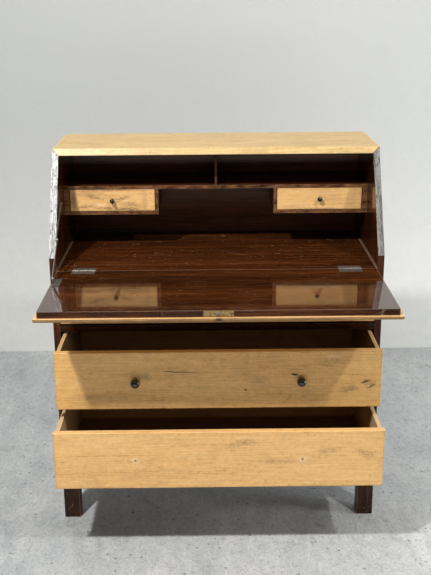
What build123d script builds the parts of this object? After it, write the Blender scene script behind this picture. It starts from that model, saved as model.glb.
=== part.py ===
from build123d import *
import math
import os

# Fall-front secretary desk. Millimetres, +Z up, the front faces -Y, the floor is z = 0.
# Everything is first placed in the case's own frame, where y = 0 is the flat front of the gables.
# save() then moves it so that the origin is the middle of the footprint, with the flap hanging open.

# ---- case, overall
WIDTH = 900.0
HEIGHT = 1064.0
DEPTH = 400.0
BOARD = 18.0            # gables, top, desk board, bottom board and rails
SLOPE_FOOT = 793.0      # height at which the gable's front edge starts to lean back
SLOPE_RUN = 144.0       # how far back that sloping edge has gone at the top
BACK_THICK = 6.0
REBATE = 9.0            # how far the back panel reaches into each gable

# ---- legs
LEG_SQUARE = 45.0
LEG_HEIGHT = 202.0
LEG_CHAMFER = 2.0

# ---- big drawers, from the bottom up
FRONT_THICK = 16.0
FRONT_ROUND = 2.5
LOWER_FRONT_HEIGHT = 162.0
FRONT_GAP = 5.0         # above and below each front
FRONT_SIDE_GAP = 2.0
FLAP_PASS = 3.0         # between the open flap and the top drawer that slides out under it
RAIL_DEPTH = 40.0
BOX_SIDE = 10.0
BOX_SIDE_GAP = 8.0      # between a drawer side and its gable, filled by the runner's guide
BOX_DROP = 1.0          # the sides are this much lower than the front
BOX_BACK_DROP = 12.0    # the back board is this much lower than the sides
BOX_REAR_GAP = 8.0
BOX_FLOOR = 5.0
BOX_FLOOR_RAISE = 9.0
RUNNER_WIDTH = 22.0
RUNNER_HEIGHT = 15.0
GUIDE_HEIGHT = 12.0
SLIDE_CLEAR = 0.3
MIDDLE_PULL = 138.0     # the middle drawer stands this far open at rest
BOTTOM_PULL = 218.0     # and the bottom drawer this far

# ---- knobs
KNOB_SPACING = 436.0
KNOB_BALL = 25.0
KNOB_REACH = 29.0
KNOB_FOOT = 17.0
KNOB_FOOT_THICK = 3.0
KNOB_NECK = 11.0
KNOB_HOLE = 5.2
KNOB_CLEAR = 0.1
SMALL_KNOB_BALL = 14.0
SMALL_KNOB_REACH = 17.0
SMALL_KNOB_FOOT = 9.0
SMALL_KNOB_FOOT_THICK = 1.5
SMALL_KNOB_NECK = 6.0
SMALL_KNOB_HOLE = 3.2

# ---- interior above the desk board
COMPARTMENT_HEIGHT = 100.0  # clear height over the shelf
SHELF_THICK = 10.0
SHELF_FRONT = 203.0     # y of the front edge of the shelf and of the small drawers
DIVIDER_THICK = 7.0
CASING_OUTER = 13.0
CASING_INNER = 8.0
CASING_FLOOR = 9.0
CASING_OPENING = 246.0
CASING_HEIGHT = 65.0    # clear height for a small drawer
CASING_SETBACK = 1.0
SMALL_FRONT_THICK = 10.0
SMALL_FRONT_GAP = 2.0
SMALL_FRONT_GAP_Z = 1.0
SMALL_FRONT_ROUND = 1.5
SMALL_SIDE = 6.0
SMALL_FLOOR = 4.0
SMALL_REAR_GAP = 6.0
SMALL_BACK_DROP = 8.0

# ---- fall flap
FLAP_CORE = 17.0
FLAP_FACE = 9.0
FLAP_SIDE_GAP = 2.0
FLAP_SEAT_CLEAR = 0.3   # between the lip and the gables' sloping edges when it is shut
FLAP_TOP_CLEAR = 2.0    # between the shut core and the underside of the top
FLAP_HINGE_GAP = 0.5    # from the hinge line to each board's edge
LIP_SIDE = 9.0
LIP_FRONT = 8.0
LIP_ROUND = 6.0

# ---- butt hinges
HINGE_LENGTH = 61.0
HINGE_CENTRE = 358.0
LEAF_WIDTH = 26.0
LEAF_THICK = 2.0
KNUCKLE_R = 3.2
PIN_R = 1.5
PIN_CLEAR = 0.05
KNUCKLE_GAP = 0.4
KNUCKLE_COUNT = 5
KNUCKLE_ROOM = 0.5
SCREW_PITCH = 22.0
SCREW_INSET = 15.0      # from the hinge line to the row of screws
SCREW_HEAD_R = 3.2
SCREW_SHANK_R = 1.6
SCREW_LENGTH = 14.0
SCREW_SLOT = 0.9
SCREW_SLOT_DEPTH = 0.7

# ---- lock
LOCK_PLATE_LENGTH = 71.0
LOCK_PLATE_HEIGHT = 14.0
LOCK_PLATE_THICK = 1.6
LOCK_CASE_WIDTH = 56.0
LOCK_CASE_DEPTH = 32.0
LOCK_CASE_HEIGHT = 11.0
BOLT_WIDTH = 22.0
BOLT_HEIGHT = 5.0
BOLT_LENGTH = 24.0
BOLT_CLEAR = 0.2
BOLT_THROW = 8.0
LOCK_SCREW_INSET = 3.5
KEYHOLE_R = 3.0
KEYHOLE_SLOT = 2.4
KEYHOLE_SLOT_DROP = 8.0
KEYHOLE_DISTANCE = 21.0  # from the flap's free edge to the key pin
ESCUTCHEON_R = 8.0
ESCUTCHEON_THICK = 1.5
STRIKE_LENGTH = 46.0
STRIKE_WIDTH = 15.0
STRIKE_THICK = 1.5
STRIKE_SLOT_CLEAR = 1.5

# ---- folding lid stay, on the left side only
STUD_Y = 114.0
STUD_Z = 917.0
BRACKET_REACH = 100.0   # from the hinge line to the stay's pivot on the open flap
BRACKET_RISE = 11.0     # the pivot's height above the flap's inner face
LINK_WIDTH = 10.0
LINK_THICK = 2.2
LINK_EYE = 1.0          # how far a link's round ends stand out past its bar
LINK_GAP = 0.4          # between the two links, and between a link and its washer or ear
STAY_WALL_GAP = 2.0     # between the gable and the upper link
STAY_PIN_R = 2.5
STAY_HEAD_R = 4.5
STAY_HEAD_THICK = 1.6
BRACKET_LENGTH = 56.0
BRACKET_WIDTH = 20.0
BRACKET_THICK = 1.8
EAR_R = 6.0

# ---- worked out from the values above
HALF = WIDTH / 2
INNER = HALF - BOARD
SLOPE = math.atan2(HEIGHT - SLOPE_FOOT, SLOPE_RUN)
TOP_UNDER = HEIGHT - BOARD
DESK_TOP = SLOPE_FOOT - (FLAP_CORE - FLAP_SEAT_CLEAR) / math.cos(SLOPE)
DESK_UNDER = DESK_TOP - BOARD
CORE_RISE = FLAP_CORE * math.cos(SLOPE)
FLAP_LENGTH = (TOP_UNDER - FLAP_TOP_CLEAR - CORE_RISE - DESK_TOP) / math.sin(SLOPE)
BACK_FACE = DEPTH - BACK_THICK
CASE_FLOOR = LEG_HEIGHT + BOARD
BOTTOM_FRONT_Z = CASE_FLOOR + FRONT_GAP
LOWER_RAIL_Z = BOTTOM_FRONT_Z + LOWER_FRONT_HEIGHT + FRONT_GAP
MIDDLE_FRONT_Z = LOWER_RAIL_Z + BOARD + FRONT_GAP
UPPER_RAIL_Z = MIDDLE_FRONT_Z + LOWER_FRONT_HEIGHT + FRONT_GAP
TOP_FRONT_Z = UPPER_RAIL_Z + BOARD + FRONT_GAP
TOP_FRONT_HEIGHT = DESK_TOP - FLAP_CORE - FLAP_FACE - FLAP_PASS - TOP_FRONT_Z
TOP_RAIL_Z = TOP_FRONT_Z + TOP_FRONT_HEIGHT + FRONT_GAP
SHELF_TOP = TOP_UNDER - COMPARTMENT_HEIGHT
SHELF_UNDER = SHELF_TOP - SHELF_THICK
CASING_FLOOR_TOP = SHELF_UNDER - CASING_HEIGHT
CASING_FRONT = SHELF_FRONT + CASING_SETBACK
FLAP_FRONT = -(FLAP_LENGTH + LIP_FRONT)
ORIGIN_Y = (DEPTH + FLAP_FRONT) / 2
UPPER_LINK_X = -(INNER - STAY_WALL_GAP)
LOWER_LINK_X = UPPER_LINK_X + LINK_THICK + LINK_GAP
EAR_X = LOWER_LINK_X + LINK_THICK + LINK_GAP
BRACKET_PIVOT = (-BRACKET_REACH, DESK_TOP + BRACKET_RISE)
STUD_PIVOT = (STUD_Y, STUD_Z)
ELBOW = ((STUD_PIVOT[0] + BRACKET_PIVOT[0]) / 2, (STUD_PIVOT[1] + BRACKET_PIVOT[1]) / 2)

os.makedirs("parts", exist_ok=True)


def save(name, *solids):
    """Write one node, moved from the case's frame to the part's origin."""
    placed = [Pos(0, -ORIGIN_Y, 0) * solid for solid in solids]
    shape = placed[0] if len(placed) == 1 else Compound(children=placed)
    export_step(shape, f"parts/{name}.step")


def block(x, y, z):
    """A board given by its (low, high) pair along each axis."""
    size = Box(x[1] - x[0], y[1] - y[0], z[1] - z[0])
    return Pos((x[0] + x[1]) / 2, (y[0] + y[1]) / 2, (z[0] + z[1]) / 2) * size


def rod_x(y, z, radius, x):
    """A round bar along X between the two x values."""
    return Pos((x[0] + x[1]) / 2, y, z) * Rot(0, 90, 0) * Cylinder(radius, x[1] - x[0])


def rod_y(x, z, radius, y):
    """A round bar along Y between the two y values."""
    return Pos(x, (y[0] + y[1]) / 2, z) * Rot(90, 0, 0) * Cylinder(radius, y[1] - y[0])


def rod_z(x, y, radius, z):
    """A round bar along Z between the two z values."""
    return Pos(x, y, (z[0] + z[1]) / 2) * Cylinder(radius, z[1] - z[0])


def prism_x(points, x):
    """A (y, z) outline carried along X between the two x values."""
    face = make_face(Polyline([Vector(x[0], y, z) for y, z in points], close=True))
    return extrude(face, x[1] - x[0], dir=(1, 0, 0))


def side_outline():
    """The gable seen from the side: upright front, sloping edge, flat top, upright back."""
    return [(0, LEG_HEIGHT), (0, SLOPE_FOOT), (SLOPE_RUN, HEIGHT), (DEPTH, HEIGHT), (DEPTH, LEG_HEIGHT)]


def shut_place(along, outward):
    """The (y, z) of a point on the shut flap: along it from the hinge, and out from its inner face."""
    y = along * math.cos(SLOPE) - outward * math.sin(SLOPE)
    z = DESK_TOP + along * math.sin(SLOPE) + outward * math.cos(SLOPE)
    return y, z


# ---- case

def back_panel():
    """Thin board let into a rebate round the back."""
    return block((-INNER - REBATE, INNER + REBATE), (BACK_FACE, DEPTH), (LEG_HEIGHT, HEIGHT - REBATE))


def strike_place():
    """The (y, z) where the thrown bolt's centre line meets the underside of the top."""
    y, z = shut_place(FLAP_LENGTH, FLAP_CORE / 2)
    return y + (TOP_UNDER - z) / math.tan(SLOPE), TOP_UNDER


def strike_mortise():
    """The pocket in the top that takes the thrown bolt, in line with the shut flap."""
    y, z = strike_place()
    pocket = Box(BOLT_WIDTH + 2 * STRIKE_SLOT_CLEAR, BOLT_HEIGHT + 2 * STRIKE_SLOT_CLEAR, 2 * BOLT_THROW)
    return Pos(0, y, z) * Rot(-90 + math.degrees(SLOPE), 0, 0) * pocket


def strike_blank():
    """The strike plate before its slot is cut."""
    y = strike_place()[0]
    return block((-STRIKE_LENGTH / 2, STRIKE_LENGTH / 2), (y - STRIKE_WIDTH / 2, y + STRIKE_WIDTH / 2),
                 (TOP_UNDER, TOP_UNDER + STRIKE_THICK))


def top_blank():
    """The top board, mitred at both ends and bevelled at the front to the gables' slope."""
    ends = [(-HALF, HEIGHT), (HALF, HEIGHT), (INNER, TOP_UNDER), (-INNER, TOP_UNDER)]
    face = make_face(Polyline([Vector(x, 0, z) for x, z in ends], close=True))
    board = extrude(face, DEPTH, dir=(0, 1, 0))
    return board & prism_x(side_outline(), (-HALF, HALF))


def top_board():
    """The finished top, with the rebate, the strike plate's seat and the bolt's pocket."""
    return top_blank() - back_panel() - strike_blank() - strike_mortise()


def stud_shank():
    """The hole and shank of the stay's stud in the left gable."""
    return rod_x(STUD_Y, STUD_Z, STAY_PIN_R, (-INNER - BOARD / 2, -INNER))


def gable(side):
    """A side board: -1 is the left one, which also takes the stay's stud."""
    x = (INNER, HALF) if side > 0 else (-HALF, -INNER)
    board = prism_x(side_outline(), x) - top_blank() - back_panel()
    return board if side > 0 else board - stud_shank()


def knuckle_room(side):
    """The groove that clears a hinge's knuckles in the desk board and the flap."""
    half = HINGE_LENGTH / 2 + KNUCKLE_ROOM
    x = side * HINGE_CENTRE
    return rod_x(0, DESK_TOP, KNUCKLE_R + KNUCKLE_ROOM, (x - half, x + half))


def desk_board():
    """The fixed writing surface, let out for the hinge leaves, their knuckles and screws."""
    board = block((-INNER, INNER), (FLAP_HINGE_GAP, BACK_FACE), (DESK_UNDER, DESK_TOP))
    for side in (-1, 1):
        board -= leaf_plate(side, 1)
        board -= knuckle_room(side)
        for x in screw_places(side):
            board -= screw(x, SCREW_INSET)
    return board


def bottom_board():
    """The floor of the case, under the bottom drawer."""
    return block((-INNER, INNER), (0, BACK_FACE), (LEG_HEIGHT, CASE_FLOOR))


def rail(low, high):
    """A front rail between two drawers, or over the top one."""
    return block((-INNER, INNER), (0, RAIL_DEPTH), (low, high))


def leg(x_side, y):
    """A square post under a corner of the case, its foot chamfered."""
    x = (HALF - LEG_SQUARE, HALF) if x_side > 0 else (-HALF, -HALF + LEG_SQUARE)
    post = block(x, (y, y + LEG_SQUARE), (0, LEG_HEIGHT))
    return chamfer(post.faces().sort_by(Axis.Z)[0].edges(), LEG_CHAMFER)


def runner(side, front_z):
    """An L-shaped strip on a gable: the drawer's side rides on its foot, beside its guide."""
    top = front_z - SLIDE_CLEAR
    guide = (INNER - BOX_SIDE_GAP + SLIDE_CLEAR, INNER)
    foot = (INNER - RUNNER_WIDTH, INNER)
    start = RAIL_DEPTH if top - RUNNER_HEIGHT > CASE_FLOOR else FRONT_THICK
    low = max(top - RUNNER_HEIGHT, CASE_FLOOR)
    strip = block(foot, (start, BACK_FACE), (low, top))
    strip += block(guide, (start, BACK_FACE), (top, top + GUIDE_HEIGHT))
    return strip if side > 0 else mirror(strip, Plane.YZ)


# ---- interior

def shelf():
    """The full-width shelf over the small drawers."""
    return block((-INNER, INNER), (SHELF_FRONT, BACK_FACE), (SHELF_UNDER, SHELF_TOP))


def shelf_divider():
    """The upright that parts the space over the shelf in two."""
    return block((-DIVIDER_THICK / 2, DIVIDER_THICK / 2), (SHELF_FRONT, BACK_FACE), (SHELF_TOP, TOP_UNDER))


def casing(side):
    """The three boards that hold a small drawer under the shelf: outer side, inner side, floor."""
    y = (CASING_FRONT, BACK_FACE)
    open_out = INNER - CASING_OUTER
    open_in = open_out - CASING_OPENING
    outer = block((open_out, INNER), y, (CASING_FLOOR_TOP, SHELF_UNDER))
    inner = block((open_in - CASING_INNER, open_in), y, (CASING_FLOOR_TOP, SHELF_UNDER))
    floor = block((open_in - CASING_INNER, INNER), y, (CASING_FLOOR_TOP - CASING_FLOOR, CASING_FLOOR_TOP))
    boards = [outer, inner, floor]
    return boards if side > 0 else [mirror(board, Plane.YZ) for board in boards]


# ---- drawers

def knob(x, y, z, ball, reach, foot, foot_thick, neck, hole, thick):
    """A turned knob on a front whose face is at y: foot, neck, ball, and a peg through the front."""
    body = Pos(x, y - (reach - ball / 2), z) * Sphere(ball / 2)
    body += rod_y(x, z, neck / 2, (y - reach + ball / 2, y))
    body += rod_y(x, z, foot / 2, (y - foot_thick, y))
    return body + rod_y(x, z, hole / 2 - KNOB_CLEAR / 2, (y - foot_thick, y + thick))


def big_knob(x, y, z):
    """One of the pair of knobs on a big drawer."""
    return knob(x, y, z, KNOB_BALL, KNOB_REACH, KNOB_FOOT, KNOB_FOOT_THICK, KNOB_NECK, KNOB_HOLE, FRONT_THICK)


def rounded_front(x, y, z, radius):
    """A drawer front with the edges of its outer face rounded."""
    board = block(x, y, z)
    return fillet(board.faces().sort_by(Axis.Y)[0].edges(), radius)


def big_drawer(name, pull, z, height, knobs):
    """One big drawer, pulled out by the given distance: front, sides, back, floor and knobs."""
    out = -pull
    front_half = INNER - FRONT_SIDE_GAP
    side_out = INNER - BOX_SIDE_GAP
    side_in = side_out - BOX_SIDE
    rear = out + BACK_FACE - BOX_REAR_GAP
    inside = (out + FRONT_THICK, rear - BOX_SIDE)
    floor_z = (z + BOX_FLOOR_RAISE, z + BOX_FLOOR_RAISE + BOX_FLOOR)
    top = z + height - BOX_DROP
    front = rounded_front((-front_half, front_half), (out, out + FRONT_THICK), (z, z + height), FRONT_ROUND)
    side = block((side_in, side_out), (out + FRONT_THICK, rear), (z, top))
    middle = z + height / 2
    for x in (-KNOB_SPACING / 2, KNOB_SPACING / 2):
        front -= rod_y(x, middle, KNOB_HOLE / 2, (out, out + FRONT_THICK))
    save(f"{name}_front", front)
    save(f"{name}_side_right", side)
    save(f"{name}_side_left", mirror(side, Plane.YZ))
    save(f"{name}_back", block((-side_in, side_in), (rear - BOX_SIDE, rear), (z, top - BOX_BACK_DROP)))
    save(f"{name}_floor", block((-side_in, side_in), inside, floor_z))
    if knobs:
        save(f"{name}_knobs", *[big_knob(x, out, middle) for x in (-KNOB_SPACING / 2, KNOB_SPACING / 2)])


def small_drawer(side, word):
    """A small drawer in its casing: front, two sides, back, floor and one knob."""
    z = (CASING_FLOOR_TOP + SMALL_FRONT_GAP_Z, SHELF_UNDER - SMALL_FRONT_GAP_Z)
    x = (INNER - CASING_OUTER - CASING_OPENING + SMALL_FRONT_GAP, INNER - CASING_OUTER - SMALL_FRONT_GAP)
    y = (CASING_FRONT, BACK_FACE - SMALL_REAR_GAP)
    behind = y[0] + SMALL_FRONT_THICK
    centre = ((x[0] + x[1]) / 2, (z[0] + z[1]) / 2)
    front = rounded_front(x, (y[0], behind), z, SMALL_FRONT_ROUND)
    front -= rod_y(*centre, SMALL_KNOB_HOLE / 2, (y[0], behind))
    button = knob(centre[0], y[0], centre[1], SMALL_KNOB_BALL, SMALL_KNOB_REACH, SMALL_KNOB_FOOT,
                  SMALL_KNOB_FOOT_THICK, SMALL_KNOB_NECK, SMALL_KNOB_HOLE, SMALL_FRONT_THICK)
    run = (behind, y[1])
    sides = [block((x[0], x[0] + SMALL_SIDE), run, z), block((x[1] - SMALL_SIDE, x[1]), run, z)]
    within = (x[0] + SMALL_SIDE, x[1] - SMALL_SIDE)
    back = block(within, (y[1] - SMALL_SIDE, y[1]), (z[0], z[1] - SMALL_BACK_DROP))
    floor = block(within, (behind, y[1] - SMALL_SIDE), (z[0], z[0] + SMALL_FLOOR))
    pieces = {"front": [front], "sides": sides, "back": [back], "floor": [floor], "knob": [button]}
    for piece, solids in pieces.items():
        placed = solids if side > 0 else [mirror(solid, Plane.YZ) for solid in solids]
        save(f"small_drawer_{word}_{piece}", *placed)


# ---- fall flap, hinges and lock

def keyhole(z):
    """A keyhole through the given heights: a round hole with a slot towards the free edge."""
    y = -FLAP_LENGTH + KEYHOLE_DISTANCE
    slot = block((-KEYHOLE_SLOT / 2, KEYHOLE_SLOT / 2), (y - KEYHOLE_SLOT_DROP, y), z)
    return rod_z(0, y, KEYHOLE_R, z) + slot


def flap_middle():
    """Half-way through the open flap's core."""
    return DESK_TOP - FLAP_CORE / 2


def in_edge(width, height, y):
    """A block centred in the flap's free edge, between the two y values."""
    z = flap_middle()
    return block((-width / 2, width / 2), y, (z - height / 2, z + height / 2))


def lock_cavity():
    """The mortise in the flap's core that takes the lock case, open at the free edge."""
    end = -FLAP_LENGTH + LOCK_PLATE_THICK + LOCK_CASE_DEPTH
    return in_edge(LOCK_CASE_WIDTH, LOCK_CASE_HEIGHT, (-FLAP_LENGTH, end))


def lock_plate_blank():
    """The lock's face plate before its openings, let into the flap's free edge."""
    return in_edge(LOCK_PLATE_LENGTH, LOCK_PLATE_HEIGHT, (-FLAP_LENGTH, -FLAP_LENGTH + LOCK_PLATE_THICK))


def bolt_block(clear, y):
    """The bolt, or with a clearance the way it slides in."""
    return in_edge(BOLT_WIDTH + 2 * clear, BOLT_HEIGHT + 2 * clear, y)


def lock_bolt():
    """The bolt drawn back, its end just inside the face plate."""
    start = -FLAP_LENGTH + BOLT_CLEAR
    return bolt_block(0, (start, start + BOLT_LENGTH))


def bolt_way():
    """The room that the bolt slides in, through the case and the face plate."""
    return bolt_block(BOLT_CLEAR, (-FLAP_LENGTH, -FLAP_LENGTH + BOLT_LENGTH + 2 * BOLT_CLEAR))


def lock_screw(x):
    """A wood screw driven along Y through the lock's face plate."""
    upright = screw(0, 0, 0)
    return Pos(x, -FLAP_LENGTH, flap_middle()) * Rot(90, 0, 0) * upright


def lock_screws():
    """The two screws that hold the face plate."""
    reach = LOCK_PLATE_LENGTH / 2 - LOCK_SCREW_INSET
    return [lock_screw(-reach), lock_screw(reach)]


def lock_plate():
    """The face plate with the bolt's slot and two screw holes."""
    plate = lock_plate_blank() - bolt_way()
    for piece in lock_screws():
        plate -= piece
    return plate


def lock_case():
    """The lock's body, hollow for the bolt, open to the key from the outer face."""
    start = -FLAP_LENGTH + LOCK_PLATE_THICK
    z = flap_middle()
    body = in_edge(LOCK_CASE_WIDTH, LOCK_CASE_HEIGHT, (start, start + LOCK_CASE_DEPTH))
    return body - bolt_way() - keyhole((z - LOCK_CASE_HEIGHT / 2, z - BOLT_HEIGHT / 2))


def escutcheon_blank():
    """The keyhole's round plate, flush in the outer face."""
    y = -FLAP_LENGTH + KEYHOLE_DISTANCE
    under = DESK_TOP - FLAP_CORE - FLAP_FACE
    return rod_z(0, y - KEYHOLE_SLOT_DROP / 2, ESCUTCHEON_R, (under, under + ESCUTCHEON_THICK))


def escutcheon():
    """The plate with its keyhole."""
    under = DESK_TOP - FLAP_CORE - FLAP_FACE
    return escutcheon_blank() - keyhole((under, under + ESCUTCHEON_THICK))


def flap_core():
    """The dark inner board of the flap, which is the writing surface when it hangs open."""
    half = INNER - FLAP_SIDE_GAP
    board = block((-half, half), (-FLAP_LENGTH, -FLAP_HINGE_GAP), (DESK_TOP - FLAP_CORE, DESK_TOP))
    for side in (-1, 1):
        board -= leaf_plate(side, -1)
        board -= knuckle_room(side)
        for x in screw_places(side):
            board -= screw(x, -SCREW_INSET)
    board -= lock_cavity()
    board -= lock_plate_blank()
    board -= keyhole((DESK_TOP - FLAP_CORE, flap_middle()))
    for piece in lock_screws() + bracket_screws():
        board -= piece
    return board


def flap_face():
    """The pale outer board of the flap, whose lip overlaps the gables and the top when shut."""
    half = INNER - FLAP_SIDE_GAP + LIP_SIDE
    z = (DESK_TOP - FLAP_CORE - FLAP_FACE, DESK_TOP - FLAP_CORE)
    board = block((-half, half), (FLAP_FRONT, -FLAP_HINGE_GAP), z)
    board = fillet(board.faces().sort_by(Axis.Z)[0].edges(), LIP_ROUND)
    return board - escutcheon_blank() - keyhole(z)


def screw_places(side):
    """The x of each of a leaf's three screws."""
    return [side * HINGE_CENTRE + step * SCREW_PITCH for step in (-1, 0, 1)]


def screw(x, y, top=DESK_TOP):
    """A countersunk wood screw, head flush at the top, with its slot."""
    head_deep = SCREW_HEAD_R - SCREW_SHANK_R
    head = Pos(x, y, top - head_deep / 2) * Cone(SCREW_SHANK_R, SCREW_HEAD_R, head_deep)
    shank = rod_z(x, y, SCREW_SHANK_R, (top - SCREW_LENGTH, top - head_deep))
    return head + shank


def slotted(x, y, top=DESK_TOP):
    """The same screw with its driver slot cut, running along X."""
    slot = block((x - SCREW_HEAD_R, x + SCREW_HEAD_R), (y - SCREW_SLOT / 2, y + SCREW_SLOT / 2),
                 (top - SCREW_SLOT_DEPTH, top))
    return screw(x, y, top) - slot


def leaf_plate(side, way):
    """A hinge leaf's flat plate: way is 1 on the desk board and -1 on the flap."""
    half = HINGE_LENGTH / 2
    x = side * HINGE_CENTRE
    y = sorted((way * FLAP_HINGE_GAP, way * LEAF_WIDTH))
    return block((x - half, x + half), y, (DESK_TOP - LEAF_THICK, DESK_TOP))


def knuckle_spans(side, way):
    """The x spans of a leaf's knuckles: the desk's leaf has the odd ones, the flap's the even."""
    pitch = HINGE_LENGTH / KNUCKLE_COUNT
    start = side * HINGE_CENTRE - HINGE_LENGTH / 2
    first = 0 if way > 0 else 1
    return [(start + i * pitch + KNUCKLE_GAP / 2, start + (i + 1) * pitch - KNUCKLE_GAP / 2)
            for i in range(first, KNUCKLE_COUNT, 2)]


def hinge_leaf(side, way):
    """A leaf: its plate cut back clear of the other leaf's knuckles, its own knuckles, its holes."""
    plate = leaf_plate(side, way)
    plate -= rod_x(0, DESK_TOP, KNUCKLE_R + KNUCKLE_ROOM, leaf_ends(side))
    for span in knuckle_spans(side, way):
        near = sorted((0, way * (KNUCKLE_R + 2 * KNUCKLE_ROOM)))
        plate += rod_x(0, DESK_TOP, KNUCKLE_R, span) + block(span, near, (DESK_TOP - LEAF_THICK, DESK_TOP))
    plate -= rod_x(0, DESK_TOP, PIN_R + (PIN_CLEAR if way < 0 else 0), leaf_ends(side))
    for x in screw_places(side):
        plate -= screw(x, way * SCREW_INSET)
    return plate


def leaf_ends(side):
    """The x span of a hinge."""
    return side * HINGE_CENTRE - HINGE_LENGTH / 2, side * HINGE_CENTRE + HINGE_LENGTH / 2


def hinge_pin(side):
    """The pin, held in the desk leaf's knuckles."""
    return rod_x(0, DESK_TOP, PIN_R, leaf_ends(side))


# ---- folding lid stay

def link(start, end, x, pin_clear_start, pin_clear_end):
    """A flat bar between two (y, z) pivots with round ends and a hole at each."""
    length = math.dist(start, end)
    turn = math.degrees(math.atan2(end[1] - start[1], end[0] - start[0]))
    bar = block((x, x + LINK_THICK), (0, length), (-LINK_WIDTH / 2, LINK_WIDTH / 2))
    bar += rod_x(0, 0, LINK_WIDTH / 2 + LINK_EYE, (x, x + LINK_THICK))
    bar += rod_x(length, 0, LINK_WIDTH / 2 + LINK_EYE, (x, x + LINK_THICK))
    bar -= rod_x(0, 0, STAY_PIN_R + pin_clear_start, (x, x + LINK_THICK))
    bar -= rod_x(length, 0, STAY_PIN_R + pin_clear_end, (x, x + LINK_THICK))
    return Pos(0, start[0], start[1]) * Rot(turn, 0, 0) * bar


def stay_stud():
    """The shouldered stud in the left gable that the upper link turns on."""
    wall = -INNER
    stud = rod_x(STUD_Y, STUD_Z, STAY_PIN_R, (wall - BOARD / 2, UPPER_LINK_X + LINK_THICK + LINK_GAP))
    shoulder = rod_x(STUD_Y, STUD_Z, STAY_HEAD_R, (wall, UPPER_LINK_X - LINK_GAP))
    start = UPPER_LINK_X + LINK_THICK + LINK_GAP
    return stud + shoulder + rod_x(STUD_Y, STUD_Z, STAY_HEAD_R, (start, start + STAY_HEAD_THICK))


def stay_rivet():
    """The elbow's rivet, fast in the lower link and ending flush with the face towards the upper."""
    start = LOWER_LINK_X + LINK_THICK
    shank = rod_x(*ELBOW, STAY_PIN_R, (LOWER_LINK_X, start))
    return shank + rod_x(*ELBOW, STAY_HEAD_R, (start, start + STAY_HEAD_THICK))


def bracket_screws():
    """The two screws of the stay's bracket on the flap."""
    x = bracket_middle()
    reach = BRACKET_LENGTH / 2 - 2 * SCREW_HEAD_R
    top = DESK_TOP + BRACKET_THICK
    return [screw(x, -BRACKET_REACH - reach, top), screw(x, -BRACKET_REACH + reach, top)]


def bracket_middle():
    """The x of the middle of the bracket's foot."""
    return EAR_X + BRACKET_WIDTH / 2


def stay_bracket():
    """A foot screwed to the flap, an upright ear on its edge, and the pivot that the link turns on."""
    half = BRACKET_LENGTH / 2
    y, z = BRACKET_PIVOT
    body = block((EAR_X, EAR_X + BRACKET_WIDTH), (y - half, y + half), (DESK_TOP, DESK_TOP + BRACKET_THICK))
    ear_x = (EAR_X, EAR_X + BRACKET_THICK)
    body += block(ear_x, (y - EAR_R, y + EAR_R), (DESK_TOP, z)) + rod_x(y, z, EAR_R, ear_x)
    body += rod_x(y, z, STAY_PIN_R, (LOWER_LINK_X - LINK_GAP / 2, EAR_X))
    for piece in bracket_screws():
        body -= piece
    return body


# ---- write the nodes

save("gable_left", gable(-1))
save("gable_right", gable(1))
save("top_board", top_board())
save("desk_board", desk_board())
save("bottom_board", bottom_board())
save("back_panel", back_panel())
rails = [rail(z, z + BOARD) for z in (LOWER_RAIL_Z, UPPER_RAIL_Z)]
save("drawer_rails", *rails, rail(TOP_RAIL_Z, DESK_UNDER))
for y_word, y in (("front", 0), ("rear", DEPTH - LEG_SQUARE)):
    for x_word, x_side in (("left", -1), ("right", 1)):
        save(f"leg_{y_word}_{x_word}", leg(x_side, y))
runner_places = [(side, z) for z in (BOTTOM_FRONT_Z, MIDDLE_FRONT_Z, TOP_FRONT_Z) for side in (-1, 1)]
save("drawer_runners", *[runner(side, z) for side, z in runner_places])

save("shelf", shelf())
save("shelf_divider", shelf_divider())
save("casing_left", *casing(-1))
save("casing_right", *casing(1))

big_drawer("drawer_top", 0.0, TOP_FRONT_Z, TOP_FRONT_HEIGHT, True)
big_drawer("drawer_middle", MIDDLE_PULL, MIDDLE_FRONT_Z, LOWER_FRONT_HEIGHT, True)
big_drawer("drawer_bottom", BOTTOM_PULL, BOTTOM_FRONT_Z, LOWER_FRONT_HEIGHT, False)
small_drawer(-1, "left")
small_drawer(1, "right")

save("flap_core", flap_core())
save("flap_face", flap_face())
save("hinge_leaves_desk", hinge_leaf(-1, 1), hinge_leaf(1, 1))
save("hinge_leaves_flap", hinge_leaf(-1, -1), hinge_leaf(1, -1))
save("hinge_pins", hinge_pin(-1), hinge_pin(1))
save("screws_desk", *[slotted(x, SCREW_INSET) for side in (-1, 1) for x in screw_places(side)])
flap_screws = [slotted(x, -SCREW_INSET) for side in (-1, 1) for x in screw_places(side)]
save("screws_flap", *flap_screws, *lock_screws(), *bracket_screws())
save("lock_plate", lock_plate())
save("lock_case", lock_case())
save("lock_bolt", lock_bolt())
save("escutcheon", escutcheon())
save("strike_plate", strike_blank() - strike_mortise())

save("stay_stud", stay_stud())
save("stay_upper_link", link(STUD_PIVOT, ELBOW, UPPER_LINK_X, PIN_CLEAR, 0))
save("stay_lower_link", link(BRACKET_PIVOT, ELBOW, LOWER_LINK_X, PIN_CLEAR, 0))
save("stay_rivet", stay_rivet())
save("stay_bracket", stay_bracket())
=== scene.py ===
import math

import bpy
import numpy as np
from mathutils import Matrix, Vector


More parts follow.
